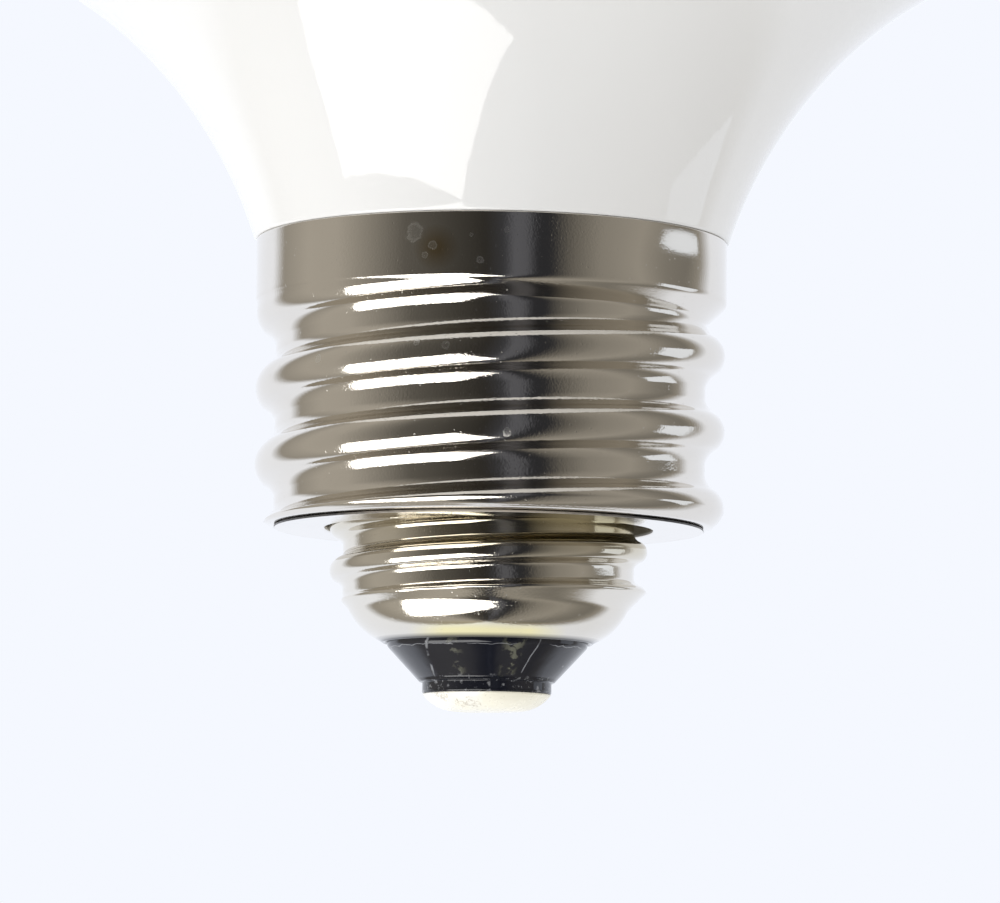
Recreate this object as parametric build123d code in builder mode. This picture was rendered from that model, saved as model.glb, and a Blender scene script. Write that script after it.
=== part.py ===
from build123d import *
from math import ceil, cos, radians, sin, tan
import os

# High-wattage LED bulb, cap down. The Z axis is the bulb's axis, and the origin is the tip of the
# centre contact. All lengths are in millimetres, and heights are measured up from that tip.

# Fits between the pieces, and how far a thread's ridge is let into its wall
bulb_fit = 0.05
sleeve_clearance = 0.3
ridge_sink = 0.05
ridge_key = 0.42

# Centre contact
contact_radius = 5.3
contact_height = 1.4
contact_flat_radius = 2.6

# Glass insulator: a lip, then a cone up to the mouth of the shell
lip_radius = 5.35
lip_height = 0.9
waist_radius = 5.6
cone_height = 3.3
plug_height = 1.2

# Screw shell of the lamp's own cap, E27
shell_top = 27.0
shell_crest_radius = 13.2
shell_thread_depth = 1.15
shell_pitch = 3.629
shell_land = 0.2
shell_crest_height = 13.3
shell_wall = 0.45
shell_plain_band = 3.0
bell_bend = 5.15
bell_angle = 72
thread_fade_drop = 0.5
thread_fade_length = 2.0
thread_fade_angle = 46

# Adapter sleeve that goes over the cap, E40 outside
sleeve_rim_height = 15.0
sleeve_length = 24.0
sleeve_crest_radius = 19.52
sleeve_thread_depth = 1.62
sleeve_pitch = 6.35
sleeve_land = 0.8
sleeve_crest_height = 29.7
sleeve_wall = 0.5
collar_step = 0.1
collar_length = 5.2
collar_slope = 1.6
collar_round = 0.7
rim_round = 2.3
neck_length = 8.0

# Moulded housing
housing_foot_step = 0.18
housing_foot_edge = 0.3
spigot_chamfer = 1.5
flare_start_angle = 18
flare_end_angle = 58
flare_bend = 40.0
housing_radius = 60.0
housing_band = 12.0
housing_rim_edge = 0.8

# Opal diffuser
diffuser_step = 0.6
diffuser_straight = 62.0
diffuser_corner = 36.0
diffuser_corner_angle = 60
diffuser_edge = 0.6

# Heights and radii that follow from the sizes above
lip_top = contact_height + lip_height
cone_top = lip_top + cone_height
bell_top = cone_top + bell_bend * sin(radians(bell_angle))
plug_top = bell_top + plug_height
shell_root_radius = shell_crest_radius - shell_thread_depth
shell_bore_radius = shell_root_radius - shell_wall
plug_radius = shell_bore_radius - bulb_fit
plug_bend = bell_bend - shell_wall - bulb_fit
mouth_radius = plug_radius - plug_bend * (1 - cos(radians(bell_angle)))
sleeve_top = sleeve_rim_height + sleeve_length
sleeve_root_radius = sleeve_crest_radius - sleeve_thread_depth
sleeve_bore_radius = sleeve_root_radius - sleeve_wall
collar_radius = sleeve_crest_radius + collar_step
housing_foot_radius = collar_radius + housing_foot_step
neck_bore_radius = shell_crest_radius + sleeve_clearance

# Upright plane for the turned outlines, r across and z up, an eighth of a turn from the threads' start
outline_plane = Plane((0, 0, 0), x_dir=(1, 1, 0), z_dir=(1, -1, 0))


def thread_ridge(root, crest, pitch, land, crest_height, bottom, top, inset=0):
    """Right-hand ridge of two equal arcs, crest and root, that passes crest_height on the +X side."""
    half_span = (pitch - land) / 2
    depth = crest - root + ridge_sink
    bend = (depth**2 + half_span**2) / (4 * depth)
    tip = crest - inset
    foot = tip - depth
    key = root - inset - ridge_key
    # The crest's arc and the root's arc meet this far along the line between their centres
    crest_share = (bend - inset) / (2 * bend)
    join_radius = tip - crest_share * depth
    join_height = crest_share * half_span
    start = crest_height - pitch * ceil((crest_height - bottom) / pitch + 1)
    with BuildPart() as ridge:
        with BuildLine():
            Helix(pitch=pitch, height=top + pitch - start, radius=root, center=(0, 0, start))
        with BuildSketch(Plane((0, 0, start), x_dir=(1, 0, 0), z_dir=(0, -1, 0))):
            with BuildLine():
                ThreePointArc((join_radius, -join_height), (tip, 0), (join_radius, join_height))
                TangentArc((foot, half_span), (join_radius, join_height), tangent=(0, -1))
                TangentArc((foot, -half_span), (join_radius, -join_height), tangent=(0, 1))
                Polyline((foot, half_span), (key, half_span), (key, -half_span), (foot, -half_span))
            make_face()
        sweep(is_frenet=True)
    return ridge.part


def sleeve_form(inset, top):
    """Outside of the adapter sleeve, or the space inside it when it is inset by the wall."""
    bottom = sleeve_rim_height + inset
    collar_bottom = sleeve_top - collar_length
    thread = thread_ridge(sleeve_root_radius, sleeve_crest_radius, sleeve_pitch, sleeve_land,
                          sleeve_crest_height, bottom, sleeve_top, inset)
    with BuildPart() as form:
        add(thread)
        # The thread fades into the rounded rim below and ends inside the collar above
        with BuildSketch(outline_plane):
            with BuildLine():
                rim = JernArc((collar_radius - rim_round, bottom), (1, 0), rim_round - inset, 90)
                ridge_top = (collar_radius - inset, collar_bottom + collar_length / 2)
                Polyline(rim @ 1, ridge_top, (0, ridge_top[1]), (0, bottom), rim @ 0)
            make_face()
        revolve(axis=Axis.Z, mode=Mode.INTERSECT)
        with BuildSketch(outline_plane):
            with BuildLine():
                wall = FilletPolyline(
                    (sleeve_root_radius - inset, bottom),
                    (sleeve_root_radius - inset, collar_bottom - collar_slope),
                    (collar_radius - inset, collar_bottom),
                    (collar_radius - inset, top),
                    radius=collar_round,
                )
                Polyline(wall @ 1, (0, top), (0, bottom), wall @ 0)
            make_face()
        revolve(axis=Axis.Z)
    return form.part


os.makedirs("parts", exist_ok=True)

# Tinned centre contact, a shallow dome with a small flat at its tip
with BuildPart() as centre_contact:
    with BuildSketch(outline_plane):
        with BuildLine():
            dome = TangentArc((contact_flat_radius, 0), (contact_radius, contact_height), tangent=(1, 0))
            Polyline(dome @ 1, (0, contact_height), (0, 0), dome @ 0)
        make_face()
    revolve(axis=Axis.Z)
centre_contact.part.label = "centre_contact"
export_step(centre_contact.part, "parts/centre_contact.step")

# Black glass insulator, which swells inside the bell of the shell and so can't drop out
with BuildPart() as cap_insulator:
    with BuildSketch(outline_plane):
        with BuildLine():
            swell = JernArc((plug_radius, bell_top), (0, -1), plug_bend, -bell_angle)
            Polyline(swell @ 1, (mouth_radius, cone_top), (waist_radius, lip_top), (lip_radius, lip_top),
                     (lip_radius, contact_height), (0, contact_height), (0, plug_top),
                     (plug_radius, plug_top), swell @ 0)
        make_face()
    revolve(axis=Axis.Z)
cap_insulator.part.label = "cap_insulator"
export_step(cap_insulator.part, "parts/cap_insulator.step")

# Nickel-plated screw shell of the cap: threaded wall, plain band above, bell end below
thread_top = shell_top - shell_plain_band
shell_thread = thread_ridge(shell_root_radius, shell_crest_radius, shell_pitch, shell_land,
                            shell_crest_height, cone_top, thread_top)
with BuildPart() as screw_shell:
    add(shell_thread)
    # The thread fades out on a cone round the bell below and on a slope above
    with BuildSketch(outline_plane):
        with BuildLine():
            limit = shell_crest_radius + ridge_sink
            fade_depth = limit - shell_bore_radius
            fade_top = bell_top - thread_fade_drop
            fade_end = fade_top - thread_fade_length
            fade_radius = limit - thread_fade_length * tan(radians(thread_fade_angle))
            Polyline((limit, fade_top), (fade_radius, fade_end), (0, fade_end), (0, thread_top),
                     (shell_bore_radius, thread_top), (limit, thread_top - fade_depth), close=True)
        make_face()
    revolve(axis=Axis.Z, mode=Mode.INTERSECT)
    with BuildSketch(outline_plane):
        with BuildLine():
            outer = JernArc((shell_root_radius, bell_top), (0, -1), bell_bend, -bell_angle)
            inner = JernArc((shell_bore_radius, bell_top), (0, -1), bell_bend - shell_wall, -bell_angle)
            Line(outer @ 1, inner @ 1)
            Polyline(outer @ 0, (shell_root_radius, shell_top),
                     (shell_bore_radius, shell_top), inner @ 0)
        make_face()
    revolve(axis=Axis.Z)
screw_shell.part.label = "screw_shell"
export_step(screw_shell.part, "parts/screw_shell.step")

# Nickel-plated adapter sleeve: collar, threaded wall, turned-in rim and a neck that the cap screws into
sleeve_outside = sleeve_form(0, sleeve_top)
sleeve_space = sleeve_form(sleeve_wall, sleeve_top + sleeve_wall)
with BuildPart() as adapter_sleeve:
    add(sleeve_outside)
    add(sleeve_space, mode=Mode.SUBTRACT)
    with BuildSketch(Plane.XY.offset(sleeve_rim_height)):
        Circle(neck_bore_radius)
    extrude(amount=sleeve_wall, mode=Mode.SUBTRACT)
    with BuildSketch(Plane.XY.offset(sleeve_rim_height)):
        Circle(neck_bore_radius + sleeve_wall)
        Circle(neck_bore_radius, mode=Mode.SUBTRACT)
    extrude(amount=neck_length)
adapter_sleeve.part.label = "adapter_sleeve"
export_step(adapter_sleeve.part, "parts/adapter_sleeve.step")

# Glossy white housing: a spigot in the shell, a neck in the sleeve, a foot on the collar, then the flare
with BuildPart() as housing:
    with BuildSketch(outline_plane):
        with BuildLine():
            neck_radius = sleeve_bore_radius - sleeve_clearance
            foot = JernArc((housing_foot_radius - housing_foot_edge, sleeve_top), (1, 0),
                           housing_foot_edge, 90 - flare_start_angle)
            flare = JernArc(foot @ 1, foot % 1, flare_bend, flare_start_angle - flare_end_angle)
            shoulder_reach = housing_radius - (flare @ 1).X
            shoulder_bend = shoulder_reach / (1 - cos(radians(flare_end_angle)))
            shoulder = JernArc(flare @ 1, flare % 1, shoulder_bend, flare_end_angle)
            band_top = (shoulder @ 1).Y + housing_band
            rim = FilletPolyline(shoulder @ 1, (housing_radius, band_top), (0, band_top),
                                 radius=housing_rim_edge)
            Polyline(rim @ 1, (0, plug_top), (plug_radius, plug_top), (plug_radius, shell_top),
                     (neck_radius - spigot_chamfer, shell_top),
                     (neck_radius, shell_top + spigot_chamfer), (neck_radius, sleeve_top), foot @ 0)
        make_face()
    revolve(axis=Axis.Z)
housing.part.label = "housing"
export_step(housing.part, "parts/housing.step")

# Opal diffuser, seated on the housing's rim, with straight sides, a rounded corner and a flatter crown
with BuildPart() as diffuser:
    with BuildSketch(outline_plane):
        with BuildLine():
            side_radius = housing_radius - diffuser_step
            side_top = (side_radius, band_top + diffuser_straight)
            FilletPolyline((0, band_top), (side_radius, band_top), side_top, radius=diffuser_edge)
            corner = JernArc(side_top, (0, 1), diffuser_corner, diffuser_corner_angle)
            crown_bend = (corner @ 1).X / cos(radians(diffuser_corner_angle))
            crown = JernArc(corner @ 1, corner % 1, crown_bend, 90 - diffuser_corner_angle)
            Line(crown @ 1, (0, band_top))
        make_face()
    revolve(axis=Axis.Z)
diffuser.part.label = "diffuser"
export_step(diffuser.part, "parts/diffuser.step")
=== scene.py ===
import bpy
import math
import numpy as np
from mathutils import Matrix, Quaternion, Vector


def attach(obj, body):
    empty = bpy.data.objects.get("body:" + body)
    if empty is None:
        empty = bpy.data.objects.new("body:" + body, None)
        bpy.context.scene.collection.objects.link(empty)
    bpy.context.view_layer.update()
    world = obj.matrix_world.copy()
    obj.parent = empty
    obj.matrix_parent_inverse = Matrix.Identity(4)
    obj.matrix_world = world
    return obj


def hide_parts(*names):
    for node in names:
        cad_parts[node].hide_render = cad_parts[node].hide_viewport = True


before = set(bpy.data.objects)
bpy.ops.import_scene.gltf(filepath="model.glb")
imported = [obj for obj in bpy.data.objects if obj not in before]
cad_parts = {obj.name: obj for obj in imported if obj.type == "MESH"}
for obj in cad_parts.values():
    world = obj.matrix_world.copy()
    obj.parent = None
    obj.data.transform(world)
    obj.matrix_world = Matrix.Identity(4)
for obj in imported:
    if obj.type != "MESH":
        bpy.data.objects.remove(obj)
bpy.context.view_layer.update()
scene = bpy.context.scene
scene.view_settings.view_transform = "Standard"
mm = 0.001
print("frame loaded:", sorted(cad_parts))


# outline helpers, all in millimetres, r across and h up

def linePoints(start, end, count=6):
    # straight run, with its steps closing up towards both ends so that edges stay crisp
    share = (1 - np.cos(np.linspace(0, np.pi, count)))[:, None] / 2
    return np.array(start) * (1 - share) + np.array(end) * share


def arcPoints(centre, radius, first, last, count):
    # centre + radius * (cos, sin), from the first angle to the last, in degrees
    turn = np.radians(np.linspace(first, last, count))
    return np.column_stack((centre[0] + radius * np.cos(turn), centre[1] + radius * np.sin(turn)))


def roundedOutline(corners, rounds, stepsPerArc=8):
    # runs from corner to corner, each inner corner cut back by round * tan(half its turn)
    # and bridged by an arc of that round
    corners = np.array(corners, float)
    pieces = []
    start = corners[0]
    for before, corner, after, bend in zip(corners[:-2], corners[1:-1], corners[2:], rounds):
        into = (corner - before) / np.linalg.norm(corner - before)
        out = (after - corner) / np.linalg.norm(after - corner)
        turn = math.atan2(into[0] * out[1] - into[1] * out[0], float(into @ out))
        back = bend * math.tan(abs(turn) / 2)
        side = math.copysign(1, turn)
        centre = corner - into * back + side * bend * np.array((-into[1], into[0]))
        first = math.degrees(math.atan2(*(corner - into * back - centre)[::-1]))
        pieces.append(linePoints(start, corner - into * back)[:-1])
        pieces.append(arcPoints(centre, bend, first, first + math.degrees(turn), stepsPerArc))
        start = corner + out * back
    pieces.append(linePoints(start, corners[-1])[1:])
    return np.concatenate(pieces)


def block(outline):
    # rows of an outline that are the same all the way round
    return outline[:, :1], outline[:, 1:]


def turnedPiece(name, blocks, columns, poles=None, finishes=None):
    # x = r cos a, y = r sin a, z = h, for every outline row (r, h) and every angle a round the axis.
    # With poles the first and last rows are closed on the axis at those heights,
    # else the last row joins the first. finishes gives the material number of each block of rows.
    angle = np.linspace(0, 2 * np.pi, columns, endpoint=False)
    radius = np.concatenate([np.broadcast_to(r, (len(h), columns)) for r, h in blocks])
    height = np.concatenate([np.broadcast_to(h, (len(h), columns)) for r, h in blocks])
    points = np.stack((radius * np.cos(angle), radius * np.sin(angle), height), -1).reshape(-1, 3)
    rows = len(radius)
    index = np.arange(rows * columns).reshape(rows, columns)
    lower = index[:-1] if poles else index
    upper = index[1:] if poles else np.roll(index, -1, 0)
    quads = np.stack((lower, np.roll(lower, -1, 1), np.roll(upper, -1, 1), upper), -1).reshape(-1, 4)
    corners = quads.ravel()
    starts = np.arange(len(quads)) * 4
    if poles:
        first, last = len(points), len(points) + 1
        points = np.concatenate((points, [(0, 0, poles[0]), (0, 0, poles[1])]))
        low = np.stack((np.full(columns, first), np.roll(index[0], -1), index[0]), -1)
        high = np.stack((np.full(columns, last), index[-1], np.roll(index[-1], -1)), -1)
        fans = np.concatenate((low, high)).ravel()
        starts = np.concatenate((starts, len(corners) + np.arange(2 * columns) * 3))
        corners = np.concatenate((corners, fans))
    mesh = bpy.data.meshes.new(name)
    mesh.vertices.add(len(points))
    mesh.vertices.foreach_set("co", (points * mm).ravel())
    mesh.loops.add(len(corners))
    mesh.loops.foreach_set("vertex_index", corners.astype(np.int32))
    mesh.polygons.add(len(starts))
    mesh.polygons.foreach_set("loop_start", starts.astype(np.int32))
    mesh.polygons.foreach_set("use_smooth", np.ones(len(starts), bool))
    if finishes:
        byRow = np.repeat(finishes, [len(h) for r, h in blocks])
        mesh.polygons.foreach_set("material_index", np.repeat(byRow, columns).astype(np.int32))
    mesh.update(calc_edges=True)
    mesh.validate()
    piece = bpy.data.objects.new(name, mesh)
    scene.collection.objects.link(piece)
    return piece


def threadRadius(height, columns, values, inset=0.0):
    # Right-hand round thread. u is the height above the nearest ridge, which climbs one pitch a turn.
    # Near the ridge r follows a crest circle, further off the equal root circle, then the plain root.
    angle = np.linspace(0, 2 * np.pi, columns, endpoint=False)
    pitch = values["pitch"]
    u = height - values["crestHeight"] - pitch * angle / (2 * np.pi)
    u = np.abs(u - pitch * np.round(u / pitch))
    halfSpan = (pitch - values["land"]) / 2
    depth = values["crest"] - values["root"] + values["sink"]
    bend = (depth**2 + halfSpan**2) / (4 * depth)
    join = halfSpan * (bend - inset) / (2 * bend)
    crestPart = values["crest"] - bend + np.sqrt(np.maximum((bend - inset)**2 - u**2, 0))
    fromRoot = np.clip(halfSpan - u, 0, None)
    rootPart = values["crest"] - depth + bend - np.sqrt(np.maximum((bend + inset)**2 - fromRoot**2, 0))
    ridge = np.where(u < join, crestPart, rootPart)
    return np.maximum(ridge, values["root"] - inset)


def spunWaves(height, columns, depth):
    # sheet metal is never dead true: a few slow waves round and along, only ever inwards
    angle = np.linspace(0, 2 * np.pi, columns, endpoint=False)
    wave = np.sin(2 * angle + 0.31 * height) + 0.7 * np.sin(5 * angle - 0.53 * height + 1.1)
    wave = wave + 0.5 * np.sin(9 * angle + 0.9 * height + 2.3) + 0.4 * np.sin(1.7 * height + 3 * angle)
    return depth * (wave / 2.6 - 1) / 2


# node helpers

def put(tree, kind, inputs=None, **settings):
    node = tree.nodes.new(kind)
    for key, value in settings.items():
        setattr(node, key, value)
    for key, value in (inputs or {}).items():
        if isinstance(value, bpy.types.NodeSocket):
            tree.links.new(value, node.inputs[key])
        else:
            node.inputs[key].default_value = value
    return node


def mathNode(tree, operation, first, second=0.0, third=0.0):
    return put(tree, "ShaderNodeMath", {0: first, 1: second, 2: third}, operation=operation).outputs[0]


def rangeNode(tree, value, low, high, toLow=0.0, toHigh=1.0):
    node = put(tree, "ShaderNodeMapRange",
               {"Value": value, "From Min": low, "From Max": high, "To Min": toLow, "To Max": toHigh})
    return node.outputs["Result"]


def mixColour(tree, factor, first, second):
    return put(tree, "ShaderNodeMix", {0: factor, 6: first, 7: second}, data_type="RGBA").outputs[2]


def bump(tree, height, strength, depth, normal=None, invert=False):
    inputs = {"Height": height, "Strength": strength, "Distance": depth}
    if normal is not None:
        inputs["Normal"] = normal
    return put(tree, "ShaderNodeBump", inputs, invert=invert).outputs[0]


def objectPlace(tree):
    return put(tree, "ShaderNodeTexCoord").outputs["Object"]


def frontAngle(tree, place):
    # angle round the axis in radians, 0 at the front and positive to the right
    x, y, _ = put(tree, "ShaderNodeSeparateXYZ", {0: place}).outputs
    return mathNode(tree, "ARCTAN2", x, mathNode(tree, "MULTIPLY", y, -1.0))


def awayFrom(tree, place, x, y, z):
    # distance from a point given in millimetres
    there = (x * mm, y * mm, z * mm)
    return put(tree, "ShaderNodeVectorMath", {0: place, 1: there}, operation="DISTANCE").outputs["Value"]


def rgb(r, g, b):
    return (r, g, b, 1.0)


def newGroup(name, inputs, outputs):
    group = bpy.data.node_groups.new(name, "ShaderNodeTree")
    for label, value in inputs.items():
        socket = group.interface.new_socket(label, in_out="INPUT", socket_type="NodeSocketFloat")
        socket.default_value = value
    for label in outputs:
        group.interface.new_socket(label, in_out="OUTPUT", socket_type="NodeSocketFloat")
    return group, group.nodes.new("NodeGroupInput"), group.nodes.new("NodeGroupOutput")


def useGroup(tree, group, **values):
    node = tree.nodes.new("ShaderNodeGroup")
    node.node_tree = group
    for label, value in values.items():
        node.inputs[label].default_value = value
    return node


def newMaterial(name):
    material = bpy.data.materials.new(name)
    material.use_nodes = True
    tree = material.node_tree
    return material, tree, tree.nodes["Principled BSDF"]


# shared effects

def makeTurnedLines():
    # marks that run round the axis: noise over (direction * around, height * along), so they have no seam
    group, given, result = newGroup("turnedLines", {"Around": 2.0, "Along": 9000.0}, ["Lines"])
    place = objectPlace(group)
    flat = put(group, "ShaderNodeVectorMath", {0: place, 1: (1, 1, 0)}, operation="MULTIPLY").outputs[0]
    ring = put(group, "ShaderNodeVectorMath", {0: flat}, operation="NORMALIZE").outputs[0]
    ring = put(group, "ShaderNodeVectorMath", {0: ring, "Scale": given.outputs["Around"]}, operation="SCALE")
    high = put(group, "ShaderNodeSeparateXYZ", {0: place}).outputs["Z"]
    high = mathNode(group, "MULTIPLY", high, given.outputs["Along"])
    rise = put(group, "ShaderNodeCombineXYZ", {"Z": high}).outputs[0]
    where = put(group, "ShaderNodeVectorMath", {0: ring.outputs[0], 1: rise}, operation="ADD").outputs[0]
    noise = put(group, "ShaderNodeTexNoise",
                {"Vector": where, "Scale": 1.0, "Detail": 3.0, "Roughness": 0.6})
    group.links.new(noise.outputs[0], result.inputs["Lines"])
    return group


def makeSpecks():
    # small round marks, kept only in a share of the cells and of mixed size
    group, given, result = newGroup("specks", {"Scale": 900.0, "Share": 0.1, "Size": 0.25}, ["Mask", "Rim"])
    place = objectPlace(group)
    cells = put(group, "ShaderNodeTexVoronoi", {"Vector": place, "Scale": given.outputs["Scale"]})
    pick = put(group, "ShaderNodeSeparateColor", {0: cells.outputs["Color"]})
    kept = mathNode(group, "LESS_THAN", pick.outputs[0], given.outputs["Share"])
    size = mathNode(group, "MULTIPLY", given.outputs["Size"], mathNode(group, "ADD", pick.outputs[1], 0.3))
    share = mathNode(group, "DIVIDE", cells.outputs["Distance"], size)
    spot = rangeNode(group, share, 1.0, 0.75)
    rim = mathNode(group, "SUBTRACT", spot, rangeNode(group, share, 0.75, 0.5))
    group.links.new(mathNode(group, "MULTIPLY", spot, kept), result.inputs["Mask"])
    group.links.new(mathNode(group, "MULTIPLY", rim, kept), result.inputs["Rim"])
    return group


def makeBlotches():
    # slow cloudy patches between two noise levels
    inputs = {"Scale": 60.0, "Low": 0.45, "High": 0.7, "Detail": 4.0}
    group, given, result = newGroup("blotches", inputs, ["Mask"])
    place = objectPlace(group)
    noise = put(group, "ShaderNodeTexNoise",
                {"Vector": place, "Scale": given.outputs["Scale"], "Detail": given.outputs["Detail"]})
    level = rangeNode(group, noise.outputs[0], given.outputs["Low"], given.outputs["High"])
    group.links.new(level, result.inputs["Mask"])
    return group


def makeGrain():
    # fine even grain of a moulded, rolled or plated skin
    group, given, result = newGroup("grain", {"Scale": 3000.0, "Detail": 2.0}, ["Height"])
    place = objectPlace(group)
    noise = put(group, "ShaderNodeTexNoise",
                {"Vector": place, "Scale": given.outputs["Scale"], "Detail": given.outputs["Detail"]})
    group.links.new(noise.outputs[0], result.inputs["Height"])
    return group


def makeDriedDrop():
    # ragged round patch with a stronger rim, from the distance to its middle, frayed by a noise:
    # share = distance / size + fray * (noise - 0.5)
    inputs = {"Away": 1.0, "Ragged": 0.5, "Size": 0.001, "Fray": 1.6, "Hollow": 0.35}
    group, given, result = newGroup("driedDrop", inputs, ["Mask"])
    share = mathNode(group, "DIVIDE", given.outputs["Away"], given.outputs["Size"])
    fray = mathNode(group, "SUBTRACT", given.outputs["Ragged"], 0.5)
    share = mathNode(group, "MULTIPLY_ADD", fray, given.outputs["Fray"], share)
    patch = rangeNode(group, share, 1.25, 0.95)
    middle = rangeNode(group, share, 1.0, 0.5, 0.0, given.outputs["Hollow"])
    patch = mathNode(group, "SUBTRACT", patch, middle)
    group.links.new(patch, result.inputs["Mask"])
    return group


turnedLines = makeTurnedLines()
specks = makeSpecks()
blotches = makeBlotches()
grain = makeGrain()
driedDrop = makeDriedDrop()
print("shared effects ready")


def driedDrops(tree, place, drops, scale=1500.0, **kind):
    # the strongest of several dried drops, each (x, y, z, size)
    ragged = useGroup(tree, grain, Scale=scale, Detail=4.0).outputs["Height"]
    mask = 0.0
    for x, y, z, size in drops:
        drop = useGroup(tree, driedDrop, Size=size * mm, **kind)
        tree.links.new(awayFrom(tree, place, x, y, z), drop.inputs["Away"])
        tree.links.new(ragged, drop.inputs["Ragged"])
        mask = mathNode(tree, "MAXIMUM", mask, drop.outputs["Mask"])
    return mask


# nickel plate, for the sleeve and for the cap

plate = {
    "linesAround": 3.0, "linesAlong": 5200.0, "lineStrength": 0.05, "lineDepth": 0.00002,
    "grainScale": 5200.0, "grainLeast": 0.12, "grainMost": 0.54, "grainDepth": 0.00002,
    "pitShare": 0.3, "pitSize": 0.2, "pitStrength": 0.5, "pitDepth": 0.00001, "pitPale": 0.12,
    "dullShare": 0.25, "dullRough": 0.06, "markShare": 0.6, "markRough": 0.25,
    "roughLow": 0.05, "roughHigh": 0.10,
}


def nickelPlate(name, values):
    material, tree, shader = newMaterial(name)
    lines = useGroup(tree, turnedLines, Around=plate["linesAround"], Along=plate["linesAlong"])
    lines = lines.outputs["Lines"]
    pits = useGroup(tree, specks, Scale=values["pitScale"], Share=plate["pitShare"], Size=plate["pitSize"])
    pits = pits.outputs["Mask"]
    dull = useGroup(tree, blotches, Scale=values["dullScale"], Low=0.5, High=0.8).outputs["Mask"]
    fine = useGroup(tree, grain, Scale=plate["grainScale"]).outputs["Height"]
    place = objectPlace(tree)
    across, _, height = put(tree, "ShaderNodeSeparateXYZ", {0: place}).outputs
    colour = values["colour"]
    if "tarnish" in values:
        # warm tarnish gathers between two heights, more to one side, broken up by the cloudy patches
        left, right = values["tarnishSide"]
        rise = rangeNode(tree, height, values["tarnishLow"] * mm, values["tarnishFull"] * mm)
        fall = rangeNode(tree, height, values["tarnishEnd"] * mm, values["tarnishFull"] * mm)
        side = rangeNode(tree, across, left * mm, right * mm, 0.25, 1.0)
        broken = rangeNode(tree, dull, 0.0, 1.0, values["tarnish"], values["tarnish"] * 0.4)
        tarnish = mathNode(tree, "MULTIPLY", rise, fall)
        tarnish = mathNode(tree, "MULTIPLY", tarnish, side)
        tarnish = mathNode(tree, "MULTIPLY", tarnish, broken)
        colour = mixColour(tree, tarnish, colour, values["tarnishColour"])
    if "footReflectionColour" in values:
        # painted reflection: a yellower cast close above the lower edge, at the front and back
        far, near = values["footReach"]
        foot = rangeNode(tree, height, values["footTop"] * mm, values["footFull"] * mm, 0.0, 0.7)
        aside = mathNode(tree, "ABSOLUTE", across)
        foot = mathNode(tree, "MULTIPLY", foot, rangeNode(tree, aside, far * mm, near * mm))
        colour = mixColour(tree, foot, colour, values["footReflectionColour"])
    cloudy = mathNode(tree, "MULTIPLY", dull, plate["dullShare"])
    colour = mixColour(tree, cloudy, colour, values["dullColour"])
    if "mouthDarkColour" in values:
        # darker towards the lower edge, nearly black in its last bit
        darkening = rangeNode(tree, height, values["mouthDarkTop"] * mm, values["mouthDarkFull"] * mm, 0.0, 0.9)
        colour = mixColour(tree, darkening, colour, values["mouthDarkColour"])
    for x, y, z, size in values.get("stains", ()):
        # brown stains where something dried on
        stain = rangeNode(tree, awayFrom(tree, place, x, y, z), size * mm, 0.2 * size * mm, 0.0, 0.75)
        colour = mixColour(tree, stain, colour, values["stainColour"])
    marks = mathNode(tree, "MULTIPLY", pits, plate["pitPale"])
    if "waterSpots" in values:
        # pale dried water drops
        marks = mathNode(tree, "MAXIMUM", marks, driedDrops(tree, place, values["waterSpots"]))
    pale = mathNode(tree, "MULTIPLY", marks, plate["markShare"])
    colour = mixColour(tree, pale, colour, values["spotColour"])
    tree.links.new(colour, shader.inputs["Base Color"])
    shader.inputs["Metallic"].default_value = 1.0
    rough = rangeNode(tree, lines, 0.3, 0.7, plate["roughLow"], plate["roughHigh"])
    rough = mathNode(tree, "MULTIPLY_ADD", dull, plate["dullRough"], rough)
    rough = mathNode(tree, "MULTIPLY_ADD", marks, plate["markRough"], rough)
    tree.links.new(rough, shader.inputs["Roughness"])
    # the grain lies in patches, smooth between them
    patches = useGroup(tree, blotches, Scale=150.0, Low=0.42, High=0.66).outputs["Mask"]
    patches = rangeNode(tree, patches, 0.0, 1.0, plate["grainLeast"], plate["grainMost"])
    normal = bump(tree, lines, plate["lineStrength"], plate["lineDepth"])
    normal = bump(tree, fine, patches, plate["grainDepth"], normal)
    normal = bump(tree, pits, plate["pitStrength"], plate["pitDepth"], normal, invert=True)
    tree.links.new(normal, shader.inputs["Normal"])
    return material


# bare cut edge of the sheet

def cutEdge(values):
    material, tree, shader = newMaterial("cutEdge")
    lines = useGroup(tree, turnedLines, Around=30.0, Along=9000.0).outputs["Lines"]
    across = put(tree, "ShaderNodeSeparateXYZ", {0: objectPlace(tree)}).outputs["X"]
    # painted shade from the curl's gap: darker towards both sides than at the front and back, streaked by
    # the turned lines
    aside = mathNode(tree, "ABSOLUTE", across)
    aside = rangeNode(tree, aside, values["edgeShadeStart"] * mm, values["edgeShadeFull"] * mm)
    darkening = mathNode(tree, "MULTIPLY_ADD", mathNode(tree, "SUBTRACT", lines, 0.5), 0.8, aside)
    colour = mixColour(tree, darkening, values["edgeLight"], values["edgeShadeColour"])
    tree.links.new(colour, shader.inputs["Base Color"])
    shader.inputs["Metallic"].default_value = 0.15
    tree.links.new(rangeNode(tree, lines, 0.3, 0.7, 0.25, 0.5), shader.inputs["Roughness"])
    return material


# dull inside of the sleeve, where the plating is thin

def dullBore(values):
    material, tree, shader = newMaterial("dullBore")
    lines = useGroup(tree, turnedLines, Around=6.0, Along=3000.0).outputs["Lines"]
    cloud = useGroup(tree, blotches, Scale=140.0, Low=0.4, High=0.7).outputs["Mask"]
    colour = mixColour(tree, cloud, values["boreLight"], values["boreDark"])
    tree.links.new(colour, shader.inputs["Base Color"])
    shader.inputs["Metallic"].default_value = 0.2
    tree.links.new(rangeNode(tree, lines, 0.3, 0.7, 0.45, 0.65), shader.inputs["Roughness"])
    return material


# adapter sleeve

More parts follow.
